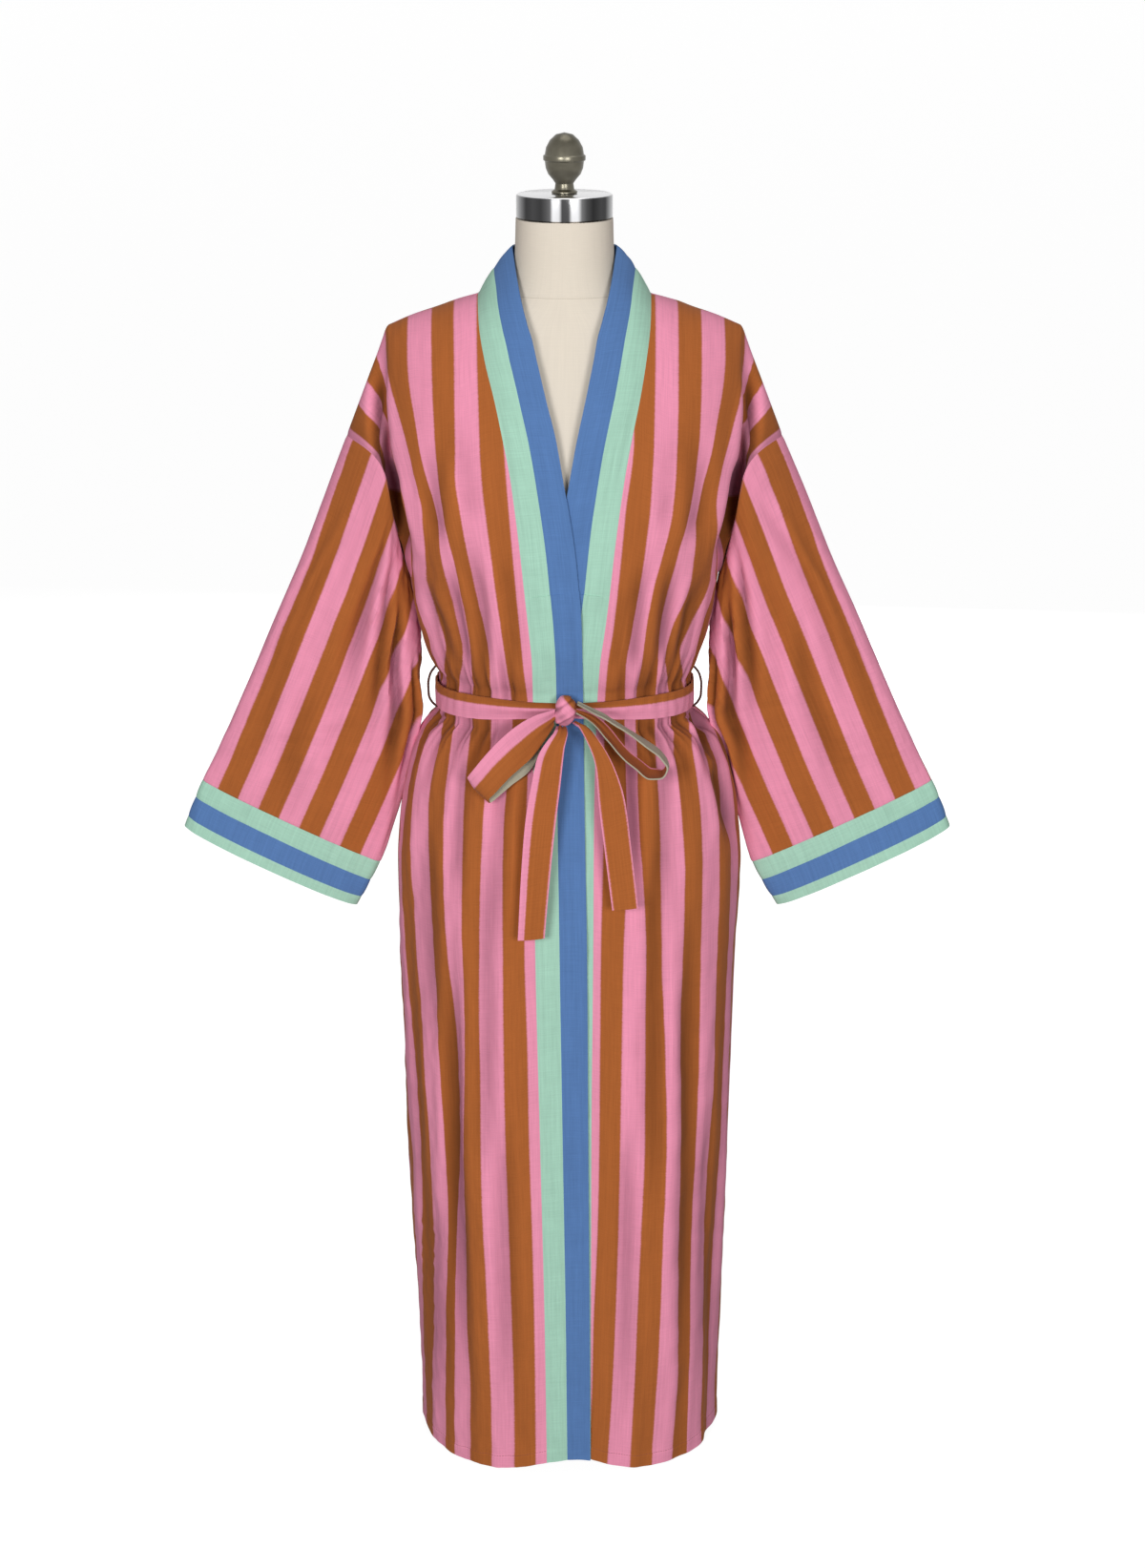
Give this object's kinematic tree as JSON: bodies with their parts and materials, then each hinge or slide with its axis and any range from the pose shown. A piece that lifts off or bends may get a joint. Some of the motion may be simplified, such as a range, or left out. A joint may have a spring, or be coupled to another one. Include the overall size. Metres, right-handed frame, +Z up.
{
  "type": "kimono robe on dress form",
  "caption": "Long wrap robe with wide sleeves, contrast collar band and cuffs and a tied belt, hung on a limbless dress form on a hidden round stand.",
  "frame": {"origin": "centre of the underside of the stand's round base, on the pole's axis, on the floor", "axes": "+Z up along the pole, -Y out of the robe's front, +X towards the wearer's left"},
  "size_m": [0.804, 0.2942, 1.3985],
  "materials": {
    "stripe_cloth": "slubby plain weave in pink and brown stripes, matt",
    "mint_cloth": "plain weave, mint, matt",
    "blue_cloth": "plain weave, blue, matt",
    "belt_cloth": "plain weave, brown and pink stripe, matt",
    "thread": "twisted thread",
    "form_cloth": "tight cream jersey over a hard shell, matt",
    "bright_metal": "polished",
    "aged_metal": "aged, half polished",
    "base_metal": "satin pale grey"
  },
  "bodies": {
    "root": {"front_right": "stripe_cloth", "front_left": "stripe_cloth", "back": "stripe_cloth", "sleeve_right": "stripe_cloth", "sleeve_left": "stripe_cloth", "cuff_upper_right": "mint_cloth", "cuff_middle_right": "blue_cloth", "cuff_lower_right": "mint_cloth", "band_inner_right": "mint_cloth", "band_edge_right": "blue_cloth", "cuff_upper_left": "mint_cloth", "cuff_middle_left": "blue_cloth", "cuff_lower_left": "mint_cloth", "band_inner_left": "mint_cloth", "band_edge_left": "blue_cloth", "belt": "belt_cloth", "belt_knot": "belt_cloth", "bow_loop_right": "belt_cloth", "belt_tail_right": "belt_cloth", "belt_loop_right": "thread", "bow_loop_left": "belt_cloth", "belt_tail_left": "belt_cloth", "belt_loop_left": "thread", "form_torso": "form_cloth", "form_cap": "bright_metal", "form_knob": "aged_metal", "form_pole": "bright_metal", "form_base": "base_metal"}
  },
  "joints": []
}
